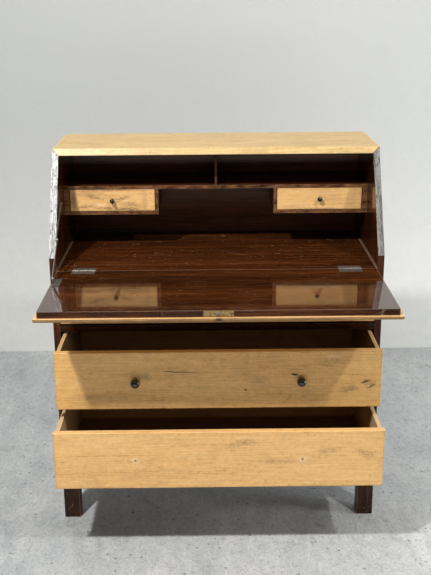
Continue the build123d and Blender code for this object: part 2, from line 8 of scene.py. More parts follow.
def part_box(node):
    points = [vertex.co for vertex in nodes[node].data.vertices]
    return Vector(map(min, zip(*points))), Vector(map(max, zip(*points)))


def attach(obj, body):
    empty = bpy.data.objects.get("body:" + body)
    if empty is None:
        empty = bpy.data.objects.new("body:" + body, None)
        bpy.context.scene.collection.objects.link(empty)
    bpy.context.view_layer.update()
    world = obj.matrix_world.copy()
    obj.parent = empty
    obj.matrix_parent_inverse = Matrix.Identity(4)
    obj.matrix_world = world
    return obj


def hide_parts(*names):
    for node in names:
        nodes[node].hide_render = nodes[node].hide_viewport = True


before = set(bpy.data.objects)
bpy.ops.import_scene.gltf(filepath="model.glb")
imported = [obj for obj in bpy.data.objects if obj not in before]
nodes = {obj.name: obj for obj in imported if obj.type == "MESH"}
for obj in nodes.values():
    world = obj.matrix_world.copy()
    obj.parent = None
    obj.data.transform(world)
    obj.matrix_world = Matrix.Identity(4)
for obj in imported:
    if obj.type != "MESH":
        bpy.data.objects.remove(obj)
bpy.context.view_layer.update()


# ---- The room: a worn grey floor and a pale plastered wall behind the desk, neither part of it.
# The wall has a front only, so that it doesn't hide the desk from behind.

class Finish:
    """A finish being mixed. Each method adds nodes and gives back what comes out of the last one."""

    def __init__(self, name):
        self.material = bpy.data.materials.new(name)
        self.material.use_nodes = True
        self.tree = self.material.node_tree
        self.shader = self.tree.nodes["Principled BSDF"]
        self.place = self.add("ShaderNodeTexCoord", out="Object")

    def add(self, kind, sockets=(), out=0, **settings):
        """One node, its settings, and what feeds or fixes each of its sockets."""
        node = self.tree.nodes.new(kind)
        for key, value in settings.items():
            setattr(node, key, value)
        for key, value in dict(sockets).items():
            self.feed(node.inputs[key], value)
        return node.outputs[out]

    def feed(self, socket, value):
        """Joins a socket to another node, or fixes its value."""
        if isinstance(value, bpy.types.NodeSocket):
            self.tree.links.new(value, socket)
        else:
            socket.default_value = value

    def reckon(self, how, a, b=0.0, c=0.0):
        """Arithmetic on one, two or three numbers."""
        return self.add("ShaderNodeMath", {0: a, 1: b, 2: c}, operation=how)

    def times(self, a, b):
        return self.reckon("MULTIPLY", a, b)

    def plus(self, a, b):
        return self.reckon("ADD", a, b)

    def less(self, a, b):
        return self.reckon("SUBTRACT", a, b)

    def larger(self, a, b):
        return self.reckon("MAXIMUM", a, b)

    def distance(self, axis):
        """How far along one axis the place is, in metres."""
        return self.add("ShaderNodeSeparateXYZ", {0: self.place}, out="XYZ".index(axis))

    def laid(self, place, scale=(1, 1, 1), turn=(0, 0, 0), shift=(0, 0, 0)):
        """The place scaled, turned, then shifted."""
        return self.add("ShaderNodeMapping", {"Vector": place, "Scale": scale, "Rotation": turn,
                                              "Location": shift})

    def noise(self, place, scale=(1, 1, 1), detail=3.0, rough=0.5, warp=0.0):
        """Smooth noise from 0 to 1, its lumps 1 / scale metres long each way."""
        return self.add("ShaderNodeTexNoise", {"Vector": self.laid(place, scale), "Scale": 1.0,
                                               "Detail": detail, "Roughness": rough, "Distortion": warp})

    def step(self, value, low, high, bottom=0.0, top=1.0):
        """Goes smoothly from bottom to top while the value goes from low to high."""
        ends = {"Value": value, "From Min": low, "From Max": high, "To Min": bottom, "To Max": top}
        return self.add("ShaderNodeMapRange", ends, interpolation_type="SMOOTHSTEP")

    def colours(self, value, *stops):
        """A run of colours along a number, each stop a (number, colour)."""
        node = self.tree.nodes.new("ShaderNodeValToRGB")
        ramp = node.color_ramp
        while len(ramp.elements) < len(stops):
            ramp.elements.new(1.0)
        for element, (at, colour) in zip(ramp.elements, stops):
            element.position = at
            element.color = (*colour, 1.0)
        self.feed(node.inputs[0], value)
        return node.outputs[0]

    def over(self, under, colour, amount):
        """A colour laid over what is under it, by that amount."""
        colour = colour if isinstance(colour, bpy.types.NodeSocket) else (*colour, 1.0)
        return self.add("ShaderNodeMix", {0: amount, 6: under, 7: colour}, out=2, data_type="RGBA")

    def relief(self, height, depth, under=None):
        """Bumps whose full height is that depth in metres."""
        sockets = {"Height": height, "Distance": depth, "Strength": 1.0}
        if under is not None:
            sockets["Normal"] = under
        return self.add("ShaderNodeBump", sockets)

    def specks(self, place, spacing, size, share):
        """Dots of the given size in a cell of the given spacing, in that share of the cells."""
        cell = self.tree.nodes.new("ShaderNodeTexVoronoi")
        self.feed(cell.inputs["Vector"], place)
        cell.inputs["Scale"].default_value = 1 / spacing
        dot = self.step(cell.outputs["Distance"], size / spacing, 0.4 * size / spacing)
        lot = self.add("ShaderNodeSeparateColor", {0: cell.outputs["Color"]})
        chosen = self.reckon("GREATER_THAN", lot, 1 - share)
        return self.times(dot, chosen)

    def scratches(self, place, length, spacing, turn, share, fine=0.004):
        """Long thin lines: the contour of a stretched noise, broken up by a second noise."""
        turned = self.laid(place, turn=turn)
        lines = self.noise(turned, (1 / length, 1 / spacing, 1 / spacing), 1.0)
        line = self.step(self.reckon("ABSOLUTE", self.less(lines, 0.5)), fine, 0.3 * fine)
        breaks = self.noise(turned, (2 / length, 2 / spacing, 2 / spacing), 2.0)
        broken = self.step(breaks, 1 - share, 1.12 - share)
        return self.times(line, broken)

    def arris(self, width):
        """How near the piece's own edges are: 0 on the flat, about 0.3 on the edge itself."""
        rounded = self.add("ShaderNodeBevel", {"Radius": width}, samples=6)
        flat = self.add("ShaderNodeNewGeometry", out="Normal")
        return self.less(1.0, self.add("ShaderNodeVectorMath", {0: rounded, 1: flat}, out="Value",
                                       operation="DOT_PRODUCT"))

    def facing(self, way):
        """How squarely the piece's own surface faces one way: 1 is straight at it, in every pose."""
        flat = self.add("ShaderNodeNewGeometry", out="True Normal")
        own = self.add("ShaderNodeVectorTransform", {0: flat}, vector_type="NORMAL", convert_from="WORLD",
                       convert_to="OBJECT")
        return self.add("ShaderNodeVectorMath", {0: own, 1: way}, out="Value", operation="DOT_PRODUCT")

    def surface(self, colour, roughness, normal=None, **sockets):
        """Ends the finish: what feeds the shader, and the shader's own fixed values."""
        self.feed(self.shader.inputs["Base Color"], colour)
        self.feed(self.shader.inputs["Roughness"], roughness)
        if normal is not None:
            self.feed(self.shader.inputs["Normal"], normal)
        for key, value in sockets.items():
            self.shader.inputs[key.replace("_", " ")].default_value = value
        return self.material


WALL_Y = 1.22
ROOM_HALF = 9.0
WALL_HEIGHT = 7.0
FLOOR_STIPPLE = (0.27, 0.28, 0.27)
FLOOR_STAIN = (0.27, 0.27, 0.26)
FLOOR_PIT = (0.12, 0.12, 0.11)
FLOOR_SCUFF = (0.66, 0.67, 0.65)
FLOOR_PAINTED_LIGHT = (0.74, 0.74, 0.71)
WALL_PAINTED_SHADE = (0.50, 0.52, 0.515)
WALL_DENT = (0.42, 0.43, 0.42)
TROWEL_DEPTH = 0.0006
PLASTER_DEPTH = 0.0015


def flat_sheet(name, corners):
    """A single flat face through four corners."""
    mesh = bpy.data.meshes.new(name)
    mesh.from_pydata(corners, [], [(0, 1, 2, 3)])
    sheet = bpy.data.objects.new(name, mesh)
    bpy.context.scene.collection.objects.link(sheet)
    return sheet


def worn_floor():
    """Grey sealed concrete: clouded and trowelled, pitted, stained and scuffed, with painted light making it
    paler to the right.
    """
    f = Finish("floor_grey")
    clouds = f.noise(f.place, (2.2, 2.2, 2.2), 6.0, 0.62)
    trowel = f.noise(f.place, (16, 7, 14), 7.0, 0.8, 0.5)
    grit = f.noise(f.place, (170, 120, 170), 4.0, 0.7)
    tone = f.plus(f.times(clouds, 0.30), f.times(trowel, 0.36))
    tone = f.plus(tone, f.times(grit, 0.34))
    colour = f.colours(tone, (0.38, (0.27, 0.295, 0.315)), (0.47, (0.43, 0.455, 0.475)),
                       (0.53, (0.51, 0.53, 0.54)), (0.62, (0.66, 0.67, 0.665)))
    # Painted light: the floor grows paler to the right.
    aside = f.distance("X")
    colour = f.over(colour, FLOOR_PAINTED_LIGHT, f.step(aside, 0.2, 1.3, 0.0, 0.34))
    stipple = f.step(f.noise(f.place, (75, 48, 75), 6.0, 0.85), 0.52, 0.60)
    colour = f.over(colour, FLOOR_STIPPLE, f.times(stipple, 0.55))
    stains = f.step(f.noise(f.place, (5.5, 5.5, 5.5), 8.0, 0.72, 0.9), 0.56, 0.68)
    colour = f.over(colour, FLOOR_STAIN, f.times(stains, 0.4))
    pits = f.larger(f.specks(f.place, 0.030, 0.005, 0.5), f.specks(f.place, 0.014, 0.0026, 0.4))
    colour = f.over(colour, FLOOR_PIT, f.times(pits, 0.8))
    scuffed = f.scratches(f.place, 0.35, 0.06, (0, 0, 0.4), 0.5, 0.010)
    colour = f.over(colour, FLOOR_SCUFF, f.times(scuffed, 0.45))
    height = f.plus(grit, f.times(trowel, 2.0))
    return f.surface(colour, f.step(trowel, 0.3, 0.7, 0.42, 0.62), f.relief(height, TROWEL_DEPTH),
                     Specular_IOR_Level=0.35)


def plaster_wall():
    """Pale painted plaster with small dents, and painted shade greying it higher up and a little more to the
    left; seen from its front only.
    """
    f = Finish("wall_plaster")
    clouds = f.noise(f.place, (1.6, 1.6, 1.6), 5.0, 0.6)
    rub = f.noise(f.place, (30, 30, 30), 4.0, 0.6)
    tone = f.plus(f.times(clouds, 0.7), f.times(rub, 0.3))
    colour = f.colours(tone, (0.35, (0.71, 0.72, 0.71)), (0.65, (0.81, 0.82, 0.79)))
    # Painted shade: the wall is greyer higher up and a little more to the left.
    aside = f.distance("X")
    above = f.distance("Z")
    painted_shade = f.times(f.step(aside, 0.7, -0.9, 0.78, 1.0), f.step(above, 0.0, 1.1, 0.05, 1.0))
    colour = f.over(colour, WALL_PAINTED_SHADE, painted_shade)
    dents = f.specks(f.place, 0.07, 0.004, 0.25)
    colour = f.over(colour, WALL_DENT, f.times(dents, 0.5))
    f.surface(colour, 0.85, f.relief(rub, PLASTER_DEPTH))
    shown = f.add("ShaderNodeMixShader", {0: f.add("ShaderNodeNewGeometry", out="Backfacing"),
                                          1: f.shader.outputs[0], 2: f.add("ShaderNodeBsdfTransparent")})
    f.tree.links.new(shown, f.tree.nodes["Material Output"].inputs["Surface"])
    return f.material


floor = flat_sheet("floor", [(-ROOM_HALF, -ROOM_HALF, 0), (ROOM_HALF, -ROOM_HALF, 0),
                             (ROOM_HALF, ROOM_HALF, 0), (-ROOM_HALF, ROOM_HALF, 0)])
floor.data.materials.append(worn_floor())
wall = flat_sheet("wall", [(-ROOM_HALF, WALL_Y, 0), (ROOM_HALF, WALL_Y, 0),
                           (ROOM_HALF, WALL_Y, WALL_HEIGHT), (-ROOM_HALF, WALL_Y, WALL_HEIGHT)])
wall.data.materials.append(plaster_wall())


# ---- Light: two small lamps high in front, left and right, whose shadows of the flap cross on the middle
# drawer; a broad ceiling; a low wide panel for what comes back off the floor in front; a small panel that
# brightens the wall at the right; and the even light of a pale room.

def panel_light(name, at, towards, size, watts, colour=(1.0, 0.97, 0.93)):
    """A flat lamp at one point, facing another."""
    lamp = bpy.data.lights.new(name, "AREA")
    lamp.shape = "RECTANGLE"
    lamp.size, lamp.size_y = size
    lamp.energy = watts
    lamp.color = colour
    holder = bpy.data.objects.new(name, lamp)
    bpy.context.scene.collection.objects.link(holder)
    holder.location = at
    holder.rotation_euler = (Vector(towards) - Vector(at)).to_track_quat("-Z", "Y").to_euler()


LAMP_SIZE = (0.14, 0.14)
LAMP_AIM = (0.0, -0.1, 0.5)
LAMP_Y, LAMP_HEIGHT = -1.70, 3.03
panel_light("lamp_left", (-1.13, LAMP_Y, LAMP_HEIGHT), LAMP_AIM, LAMP_SIZE, 92.0)
panel_light("lamp_right", (1.59, LAMP_Y, LAMP_HEIGHT), LAMP_AIM, LAMP_SIZE, 40.0)
panel_light("lamp_front", (-0.4, -3.4, 0.3), (0.0, 0.0, 0.35), (3.0, 0.4), 15.0, (1.0, 0.98, 0.93))
panel_light("ceiling", (0.3, -0.9, 4.3), (0.3, -0.9, 0.0), (6.0, 4.4), 54.0, (1.0, 0.99, 0.96))
panel_light("side", (1.9, -0.3, 0.7), (0.8, 1.2, 0.3), (0.6, 0.6), 14.0, (0.98, 0.99, 1.0))

room = bpy.data.worlds.new("pale_room")
room.use_nodes = True
room_light = room.node_tree.nodes["Background"]
room_light.inputs["Color"].default_value = (0.96, 0.98, 1.0, 1.0)
room_light.inputs["Strength"].default_value = 0.11
bpy.context.scene.world = room
bpy.context.scene.view_settings.view_transform = "Standard"


# ---- The camera: a little over two metres in front of the desk, held at standing height.
# It looks down at the desk and is turned and tipped by less than half a degree.

CAMERA_PITCH = math.radians(17.03)
CAMERA_YAW = math.radians(0.42)
CAMERA_ROLL = math.radians(0.404)
CAMERA_AT = (-0.0212, -2.3496, 1.4933)
FOCAL_LENGTH_MM = 56.41
SENSOR_WIDTH_MM = 36.0
LENS_SHIFT = -0.048
SEES_TO = 60.0

ahead = Vector((math.sin(CAMERA_YAW) * math.cos(CAMERA_PITCH), math.cos(CAMERA_YAW) * math.cos(CAMERA_PITCH),
                -math.sin(CAMERA_PITCH)))
level_right = Vector((math.cos(CAMERA_YAW), -math.sin(CAMERA_YAW), 0))
level_down = ahead.cross(level_right)
right = math.cos(CAMERA_ROLL) * level_right + math.sin(CAMERA_ROLL) * level_down
up = math.sin(CAMERA_ROLL) * level_right - math.cos(CAMERA_ROLL) * level_down
lens = bpy.data.cameras.new("camera")
lens.lens = FOCAL_LENGTH_MM
lens.sensor_width = SENSOR_WIDTH_MM
lens.shift_y = LENS_SHIFT
lens.clip_end = SEES_TO
camera = bpy.data.objects.new("camera", lens)
bpy.context.scene.collection.objects.link(camera)
camera.matrix_world = Matrix.Translation(CAMERA_AT) @ Matrix((right, up, -ahead)).transposed().to_4x4()
bpy.context.scene.camera = camera


# ---- The case: gables, desk board, bottom, rails, legs and back, in mahogany stained dark and varnished.
# The boards are sawn solid stock, their arrises eased with a pass of sandpaper before the varnish.
# The desk board and the back are left square.

GRAIN_TURN = {"x": (0, 0, 0), "y": (0, 0, -math.pi / 2), "z": (0, math.pi / 2, 0)}
BOARD_ARRIS = 0.0008
PORE_BLACK = (0.006, 0.003, 0.002)
RUBBED_BROWN = (0.115, 0.050, 0.024)
BARE_ARRIS_AND_HIGHLIGHT = (0.30, 0.20, 0.13)
PALE_DUST = (0.40, 0.30, 0.22)
HANDLED_BROWN = (0.25, 0.115, 0.052)
PALE_END_BAND = (0.30, 0.21, 0.15)
CHIP_BROWN = (0.045, 0.030, 0.024)
TO_THE_FRONT = (0, -1, 0)
PALE_END_FROM, PALE_END_TO = 0.006, 0.001
PORE_DEPTH = 0.000015


def soften(node, width):
    """Eases a board's arrises: its loose faces are joined, then a narrow round runs along each edge."""
    joined = nodes[node].modifiers.new("joined", "WELD")
    joined.merge_threshold = 0.00001
    eased = nodes[node].modifiers.new("eased", "BEVEL")
    eased.width = width
    eased.segments = 2
    eased.limit_method = "ANGLE"
    eased.angle_limit = math.radians(40)
    eased.harden_normals = True


def finish_with(material, *names):
    """Gives CAD pieces their finish."""
    for name in names:
        nodes[name].material_slots[0].material = material


def mahogany(name, grain, seed, wear_and_highlight=0.5, gloss=0.09, coat=0.9, shine=1.5, dust=0.4, lift=1.0, figured=1.0,
             rub=0.0, dull_front=0.0, ends=None, bloom_and_highlight=None, tint=(1, 1, 1), eased=0.0032):
    """Dark ribbon-figured wood under varnish, rubbed through to red-brown along its arrises, their palest line
    partly a painted highlight.

    wear_and_highlight, dust and rub are how strongly the worn and highlighted arrises, the dust and the
    handled front edge show. lift makes the wood lighter, figured its figure stronger, and tint shifts its
    colour. gloss, coat and shine are the varnish's roughness, cover and refraction, and dull_front takes it
    off what faces the front. ends is how far from the middle the paler ends lie in x, bloom_and_highlight lays
    more over all that, and eased is how wide the worn and highlighted arrises are."""
    f = Finish(name)
    along = f.laid(f.place, turn=GRAIN_TURN[grain], shift=(seed * 1.7, seed * 3.1, seed * 2.3))
    figure = f.noise(along, (1.3, 11, 11), 3.0, 0.5, 0.5)
    ribbon = f.noise(along, (2.2, 46, 46), 4.0, 0.6, 0.3)
    fibre = f.noise(along, (12, 240, 240), 5.0, 0.75)
    tone = f.plus(f.times(figure, 0.22), f.times(ribbon, 0.30))
    tone = f.plus(tone, f.times(fibre, 0.48))
    tone = f.reckon("MULTIPLY_ADD", tone, figured, 0.5 - 0.5 * figured)
    shades = ((0.38, (0.007, 0.0022, 0.0008)), (0.46, (0.026, 0.0070, 0.0018)),
              (0.54, (0.062, 0.0165, 0.0036)), (0.63, (0.140, 0.0430, 0.0100)))
    colour = f.colours(tone, *[(at, tuple(lift * share * part for share, part in zip(tint, shade)))
                               for at, shade in shades])
    pores = f.step(f.noise(along, (55, 950, 950), 1.0), 0.62, 0.70)
    colour = f.over(colour, PORE_BLACK, f.times(pores, 0.6))
    edge = f.arris(eased)
    chafe = f.plus(edge, f.times(f.noise(f.place, (38, 38, 38), 4.0, 0.7), 0.22))
    rubbed = f.step(chafe, 0.19, 0.30)
    colour = f.over(colour, RUBBED_BROWN, f.times(rubbed, wear_and_highlight))
    # The palest line on the very arris is bare wood and partly a painted highlight.
    bare_and_highlight = f.step(chafe, 0.30, 0.36)
    colour = f.over(colour, BARE_ARRIS_AND_HIGHLIGHT, f.times(bare_and_highlight, wear_and_highlight))
    scuff = f.scratches(f.place, 0.16, 0.035, (0.1, 0.2, 0.35), 0.46)
    scuff = f.larger(scuff, f.scratches(f.place, 0.11, 0.05, (0.3, -0.1, -0.9), 0.42))
    motes = f.larger(f.specks(f.place, 0.011, 0.0022, 0.22), f.specks(f.place, 0.006, 0.0012, 0.25))
    motes = f.times(motes, f.step(f.noise(f.place, (9, 9, 9), 5.0, 0.7), 0.42, 0.66, 0.25, 1.0))
    motes = f.larger(motes, f.times(scuff, 0.8))
    colour = f.over(colour, PALE_DUST, f.times(motes, dust))
    rough = f.step(f.noise(f.place, (9, 9, 9), 5.0, 0.6), 0.3, 0.75, 0.35, 0.55)
    rough = f.plus(rough, f.times(rubbed, 0.2 * wear_and_highlight))
    if rub:
        front = f.step(f.facing(TO_THE_FRONT), 0.9, 0.99)
        patchy = f.step(f.noise(f.place, (26, 60, 60), 5.0, 0.7), 0.34, 0.62)
        colour = f.over(colour, HANDLED_BROWN, f.times(f.times(front, patchy), rub))
    # The ends in x are paler in a narrow band.
    if ends is not None:
        along_x = f.reckon("ABSOLUTE", f.distance("X"))
        colour = f.over(colour, PALE_END_BAND, f.step(along_x, ends - PALE_END_FROM, ends - PALE_END_TO, 0.0, 0.75))
    if bloom_and_highlight is not None:
        colour, rough = bloom_and_highlight(f, colour, rough)
    if dull_front:
        varnish = f.step(f.facing(TO_THE_FRONT), 0.3, 0.8, coat, coat * (1 - dull_front))
        f.feed(f.shader.inputs["Coat Weight"], varnish)
    height = f.less(f.times(fibre, 0.4), f.plus(pores, scuff))
    return f.surface(colour, rough, f.relief(height, PORE_DEPTH), Specular_IOR_Level=0.03, IOR=1.5,
                     Coat_Weight=coat, Coat_Roughness=gloss, Coat_IOR=shine)


GABLE_TOP, SLOPE_FOOT, SLOPE_DEPTH = 1.064, 0.793, 0.144
lean = math.atan2(GABLE_TOP - SLOPE_FOOT, SLOPE_DEPTH)


def silvered_highlit_edge(paleness):
    """The varnish on a gable's leaning front edge has gone silvery, with long dark scratches in it; the silver
    is partly a painted highlight of the light it reflects.
    """
    def bloom_and_highlight(f, colour, rough):
        on_edge = f.step(f.facing((0, -math.sin(lean), math.cos(lean))), 0.965, 0.99)
        slant = f.laid(f.place, turn=(-lean, 0, 0))
        streak = f.noise(slant, (300, 10, 60), 4.0, 0.7)
        chips = f.step(f.noise(slant, (330, 60, 90), 6.0, 0.82), 0.50, 0.56)
        pale = f.colours(streak, (0.3, tuple(0.35 * v for v in paleness)), (0.5, paleness),
                         (0.7, tuple(1.25 * v for v in paleness)))
        pale = f.over(pale, CHIP_BROWN, f.times(chips, 0.8))
        return f.over(colour, pale, on_edge), f.plus(rough, f.times(on_edge, 0.12))
    return bloom_and_highlight


# Painted highlight on the leaning edges over their real bloom: pale silver on the left gable, dull grey on the
# right, as they reflect the light unequally.
SILVER_AND_HIGHLIGHT_LEFT = (0.62, 0.625, 0.63)
SILVER_AND_HIGHLIGHT_RIGHT = (0.24, 0.235, 0.225)
DESK_HALF_WIDTH = 0.432

finish_with(mahogany("gable_left_mahogany", "z", 1.0, wear_and_highlight=0.75, dull_front=0.7,
                     bloom_and_highlight=silvered_highlit_edge(SILVER_AND_HIGHLIGHT_LEFT)), "gable_left")
finish_with(mahogany("gable_right_mahogany", "z", 2.0, wear_and_highlight=0.75, dull_front=0.7,
                     bloom_and_highlight=silvered_highlit_edge(SILVER_AND_HIGHLIGHT_RIGHT)), "gable_right")
# The desk board's wide worn arrises carry a painted highlight as well.
finish_with(mahogany("desk_mahogany", "x", 3.0, wear_and_highlight=0.8, dust=0.9, lift=1.12, figured=0.85,
                     ends=DESK_HALF_WIDTH, eased=0.006), "desk_board")
# A darker copy of the mahogany for the bottom and the rails: painted shade, as they lie under the flap and the
# drawers.
finish_with(mahogany("carcass_mahogany", "x", 4.0, wear_and_highlight=0.5, lift=0.6, dull_front=0.8),
            "bottom_board", "drawer_rails")
LEGS = ("leg_front_left", "leg_front_right", "leg_rear_left", "leg_rear_right")
finish_with(mahogany("leg_mahogany", "z", 5.0, wear_and_highlight=1.0, gloss=0.32, coat=0.4, dust=1.0,
                     tint=(0.75, 1.05, 1.5)), *LEGS)
finish_with(mahogany("back_mahogany", "x", 6.0, wear_and_highlight=0.2, gloss=0.25, coat=0.25, dust=0.15, lift=3.2,
                     figured=0.45, tint=(1, 1.4, 2.6)), "back_panel")
for board in ("gable_left", "gable_right", "bottom_board", "drawer_rails", *LEGS):
    soften(board, BOARD_ARRIS)


# ---- The top: one pale birch board, mitred to the gables, its front edge bevelled to their lean.
# It is thinly varnished and a little dull, soiled by hands and worn dark along its arrises, and pale along
# those of its faces turned up, partly worn wood and partly a painted highlight.

MARK_GRAIN = 90.0
BROKEN_FROM = 0.007
ANY_DEPTH = (0.0, 50.0)


def mark(f, colour, at, size, tone, amount, slant=0.0, ragged=0.0, depth=ANY_DEPTH):
    """A stain, knot or rubbed spot on a front: an ellipse in x and z, soft or with a ragged outline.

    at and size are its middle and half sizes, and ragged is how far its outline strays, all in metres. Past
    BROKEN_FROM it also breaks into patches. depth is where along y it lies, and how far it reaches."""
    place = f.place
    if ragged:
        rough = f.add("ShaderNodeTexNoise", {"Vector": f.place, "Scale": MARK_GRAIN, "Detail": 4.0},
                      out="Color")
        push = f.add("ShaderNodeVectorMath", {0: rough, 1: (0.5, 0.5, 0.5)}, operation="SUBTRACT")
        push = f.add("ShaderNodeVectorMath", {0: push, "Scale": ragged}, operation="SCALE")
        place = f.add("ShaderNodeVectorMath", {0: place, 1: push}, operation="ADD")
    ellipse = {"Vector": place, "Location": (at[0], depth[0], at[1]), "Rotation": (0, slant, 0),
               "Scale": (size[0], depth[1], size[1])}
    inside = f.add("ShaderNodeMapping", ellipse, vector_type="TEXTURE")
    far = f.add("ShaderNodeVectorMath", {0: inside}, out="Value", operation="LENGTH")
    cover = f.times(f.step(far, 1.0, 0.25), amount)
    if ragged > BROKEN_FROM:
        cover = f.times(cover, f.step(f.noise(f.place, (110, 110, 240), 5.0, 0.75), 0.38, 0.54))
    return f.over(colour, tone, cover)


BIRCH = ((0.40, (0.57, 0.305, 0.095)), (0.47, (0.72, 0.420, 0.152)), (0.54, (0.785, 0.483, 0.192)),
         (0.62, (0.85, 0.565, 0.260)))
BIRCH_TOP = ((0.40, (0.41, 0.250, 0.085)), (0.47, (0.535, 0.360, 0.142)), (0.54, (0.615, 0.432, 0.184)),
             (0.62, (0.72, 0.530, 0.260)))
STAIN = (0.19, 0.105, 0.050)
FLECK_BROWN = (0.36, 0.19, 0.075)
SOIL_BROWN = (0.34, 0.195, 0.085)
GRIME_BROWN = (0.24, 0.125, 0.050)
TICK_BROWN = (0.17, 0.085, 0.035)
PALE_ARRIS_AND_HIGHLIGHT = (0.86, 0.66, 0.40)
DARK_ARRIS = (0.20, 0.095, 0.035)
PAINTED_SHADE_BROWN = (0.150, 0.080, 0.030)
RINGS_PER_METRE = 820.0
BIRCH_ARRIS = 0.0055
FIBRE_DEPTH = 0.00005


def birch(name, grain, seed, shades=BIRCH, soil=0.5, wear_and_highlight=0.6, marks=(), gloss=0.42,
          front_shade=0.0, side_shade=0.0, depth=ANY_DEPTH):
    """Pale birch: faint growth rings, fine fibre, short brown flecks, hand soil and dented arrises, with a
    painted highlight along the arrises of faces turned up.

    soil and wear_and_highlight are how dirty the face and how worn and highlighted the arrises are.
    front_shade and side_shade paint shade on what faces the front and the two sides. marks is a list of what
    mark takes, and depth goes to each."""
    f = Finish(name)
    along = f.laid(f.place, turn=GRAIN_TURN[grain], shift=(seed * 1.3, seed * 0.9, seed * 1.9))
    wander = f.noise(along, (1.1, 7, 7), 3.0, 0.55)
    heart = f.laid(along, (0.04, 1, 1), shift=(0, 0.09, 0.05))
    off_heart = f.add("ShaderNodeVectorMath", {0: heart}, out="Value", operation="LENGTH")
    rings = f.reckon("SINE", f.times(f.plus(off_heart, f.times(wander, 0.09)), RINGS_PER_METRE))
    fibre = f.noise(along, (10, 330, 330), 4.0, 0.6)
    band = f.noise(along, (3.2, 30, 30), 5.0, 0.6, 0.3)
    streak = f.noise(along, (13, 130, 130), 4.0, 0.7)
    mottle = f.noise(along, (70, 110, 110), 6.0, 0.8)
    tone = f.plus(f.times(band, 0.20), f.times(fibre, 0.24))
    tone = f.plus(tone, f.plus(f.times(wander, 0.10), f.times(mottle, 0.34)))
    tone = f.plus(tone, f.times(streak, 0.12))
    tone = f.plus(tone, f.times(rings, 0.018))
    colour = f.colours(tone, *shades)
    flecks = f.step(f.noise(along, (95, 620, 620), 1.0), 0.67, 0.75)
    colour = f.over(colour, FLECK_BROWN, f.times(flecks, 0.38))
    cloud = f.step(f.noise(f.place, (8, 8, 14), 7.0, 0.75, 0.4), 0.48, 0.64)
    colour = f.over(colour, SOIL_BROWN, f.times(cloud, 0.5 * soil))
    grimy = f.step(f.noise(f.place, (95, 95, 150), 5.0, 0.8), 0.56, 0.68)
    grimy = f.times(grimy, f.step(f.noise(f.place, (5, 5, 9), 4.0, 0.6), 0.42, 0.62))
    colour = f.over(colour, GRIME_BROWN, f.times(grimy, 0.6 * soil))
    ticks = f.larger(f.scratches(f.place, 0.05, 0.018, (0.2, 0.5, 0.2), 0.42, 0.012),
                     f.specks(f.place, 0.024, 0.0019, 0.16))
    colour = f.over(colour, TICK_BROWN, f.times(ticks, 0.8 * soil))
    edge = f.arris(BIRCH_ARRIS)
    chafe = f.plus(edge, f.times(f.noise(f.place, (60, 60, 60), 5.0, 0.75), 0.24))
    # Arrises of faces turned up get a painted highlight, partly worn pale wood; those of other faces darken
    # with dirt.
    upward = f.step(f.facing((0, 0, 1)), 0.2, 0.7)
    dirty = f.times(f.step(chafe, 0.13, 0.22), f.less(1.0, upward))
    bright = f.times(f.step(edge, 0.02, 0.15), upward)
    colour = f.over(colour, PALE_ARRIS_AND_HIGHLIGHT, f.times(bright, 0.6 * wear_and_highlight))
    colour = f.over(colour, DARK_ARRIS, f.times(dirty, 0.9 * wear_and_highlight))
    # Painted shade on what faces the front.
    if front_shade:
        front = f.step(f.facing(TO_THE_FRONT), 0.25, 0.60)
        patchy = f.step(f.noise(f.place, (22, 60, 200), 5.0, 0.75), 0.30, 0.55, 0.6, 1.0)
        colour = f.over(colour, PAINTED_SHADE_BROWN, f.times(f.times(front, patchy), front_shade))
    for at, size, tint, amount, slant, ragged in marks:
        colour = mark(f, colour, at, size, tint, amount, slant, ragged, depth)
    # Painted shade on the faces turned to the sides.
    if side_shade:
        side = f.step(f.reckon("ABSOLUTE", f.facing((1, 0, 0))), 0.4, 0.8)
        colour = f.over(colour, PAINTED_SHADE_BROWN, f.times(side, side_shade))
    rough = f.step(f.noise(f.place, (12, 12, 12), 4.0, 0.6), 0.3, 0.7, gloss, gloss + 0.13)
    height = f.less(f.times(fibre, 0.6), f.plus(flecks, ticks))
    return f.surface(colour, rough, f.relief(height, FIBRE_DEPTH), IOR=1.5, Specular_IOR_Level=0.4,
                     Coat_Weight=0.18, Coat_Roughness=0.3)


finish_with(birch("top_birch", "x", 7.0, BIRCH_TOP, soil=0.6, wear_and_highlight=0.9), "top_board")
soften("top_board", BOARD_ARRIS)


# ---- The interior: a thin shelf, its divider and two open casings of the same dark wood.
# Their front edges are rubbed to a mid red-brown by hands and papers. The casings' three boards meet
# edge to edge and are left square.

THIN_ARRIS = 0.0006
finish_with(mahogany("shelf_mahogany", "x", 8.0, wear_and_highlight=0.8, coat=0.3, rub=0.75, dull_front=0.9), "shelf")
finish_with(mahogany("divider_mahogany", "z", 9.0, wear_and_highlight=0.3, coat=0.4, rub=0.15, dull_front=0.9),
            "shelf_divider")
finish_with(mahogany("casing_mahogany", "x", 10.0, wear_and_highlight=1.0, coat=0.5, rub=0.8, dull_front=0.9),
            "casing_left", "casing_right")
for board in ("shelf", "shelf_divider"):
    soften(board, THIN_ARRIS)


# ---- The big drawers: pale birch fronts on boxes of plain yellowish birch, the floors of a browner ply.
# The middle front is cracked, dented and rubbed, with a painted shadow right of its left knob, and its colour
# and its box's sides carry painted shade;
# the bottom one has lost its knobs. They slide on runners of the box wood.

PLAIN = ((0.34, (0.42, 0.27, 0.115)), (0.46, (0.56, 0.385, 0.180)), (0.56, (0.64, 0.46, 0.235)),
         (0.70, (0.70, 0.53, 0.30)))
PLY = ((0.34, (0.17, 0.085, 0.030)), (0.46, (0.26, 0.135, 0.050)), (0.56, (0.33, 0.180, 0.070)),
       (0.70, (0.40, 0.235, 0.10)))
GREY = (0.20, 0.12, 0.06)
PALE = (0.84, 0.66, 0.42)
CRACK = (0.06, 0.025, 0.010)
SMUDGE = (0.36, 0.21, 0.09)
BRUISE = (0.30, 0.17, 0.07)

